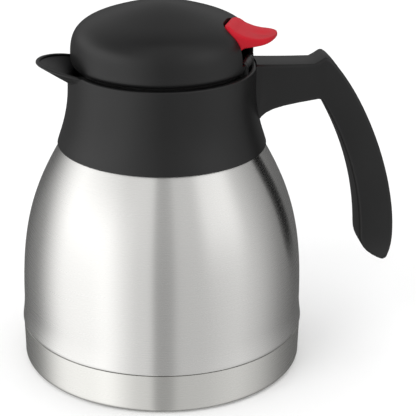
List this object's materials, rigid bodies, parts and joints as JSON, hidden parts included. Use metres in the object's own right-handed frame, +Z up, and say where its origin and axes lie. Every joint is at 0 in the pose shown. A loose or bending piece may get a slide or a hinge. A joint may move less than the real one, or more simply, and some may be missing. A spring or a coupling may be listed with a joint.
{
  "type": "thermal carafe with flip lid",
  "caption": "Double-walled steel carafe with a moulded collar, pouring spout, open-ended handle and a domed flip lid whose thumb lever lifts a pour valve.",
  "frame": {"origin": "middle of the underside of the base pad, where the carafe rests", "axes": "+Z up along the axis of the body, +X towards the handle, -X towards the spout"},
  "size_m": [0.1906, 0.144, 0.1858],
  "materials": {
    "brushed_shell": "fine brushed, satin",
    "brushed_band": "fine brushed, a little brighter than the body",
    "inner_steel": "plain drawn steel",
    "pin_steel": "bright wire and pins",
    "black_plastic": "moulded, satin, fine grain",
    "red_plastic": "moulded, soft gloss",
    "seal_rubber": "soft seal",
    "base_rubber": "soft pad with a matte face"
  },
  "bodies": {
    "jug": {"outer_shell": "brushed_shell", "shell_bottom": "inner_steel", "base_cup": "brushed_band", "base_pad": "base_rubber", "inner_liner": "inner_steel", "vacuum_cap": "inner_steel", "collar": "black_plastic", "neck_gasket": "seal_rubber", "neck_ring": "black_plastic", "mouth_gasket": "seal_rubber", "mouth_funnel": "black_plastic", "handle": "black_plastic", "handle_cover": "black_plastic", "handle_screws": "pin_steel", "hinge_pin": "pin_steel"},
    "lid": {"lid_dome": "black_plastic", "lid_base": "black_plastic", "plug_body": "black_plastic", "plug_seal": "seal_rubber", "lid_screws": "pin_steel", "lever_pin": "pin_steel", "valve_spring": "pin_steel"},
    "lever": {"thumb_lever": "red_plastic"},
    "valve": {"valve_stem": "pin_steel", "stem_cap": "black_plastic", "valve_disc": "black_plastic", "valve_seal": "seal_rubber"}
  },
  "joints": [
    {"name": "lid_flip", "type": "hinge", "parent": "jug", "child": "lid", "pos_m": [0.03902, -0.01498, 0.158], "axis": [0.3584, 0.9336, 0], "range_deg": [0, 35]},
    {"name": "valve_lift", "type": "slide", "parent": "lid", "child": "valve", "axis": [0, 0, 1], "range_m": [0, 0.00517], "stiffness_N_per_m": 200, "springref_m": -0.002, "deforming": ["valve_spring"]},
    {"name": "lever_press", "type": "hinge", "parent": "lid", "child": "lever", "pos_m": [0.03454, -0.01326, 0.1675], "axis": [0.3584, 0.9336, 0], "range_deg": [0, 8]}
  ],
  "couplings": [
    {"joint": "lever_press", "follows": "valve_lift", "rad_per_m": 27.027}
  ]
}
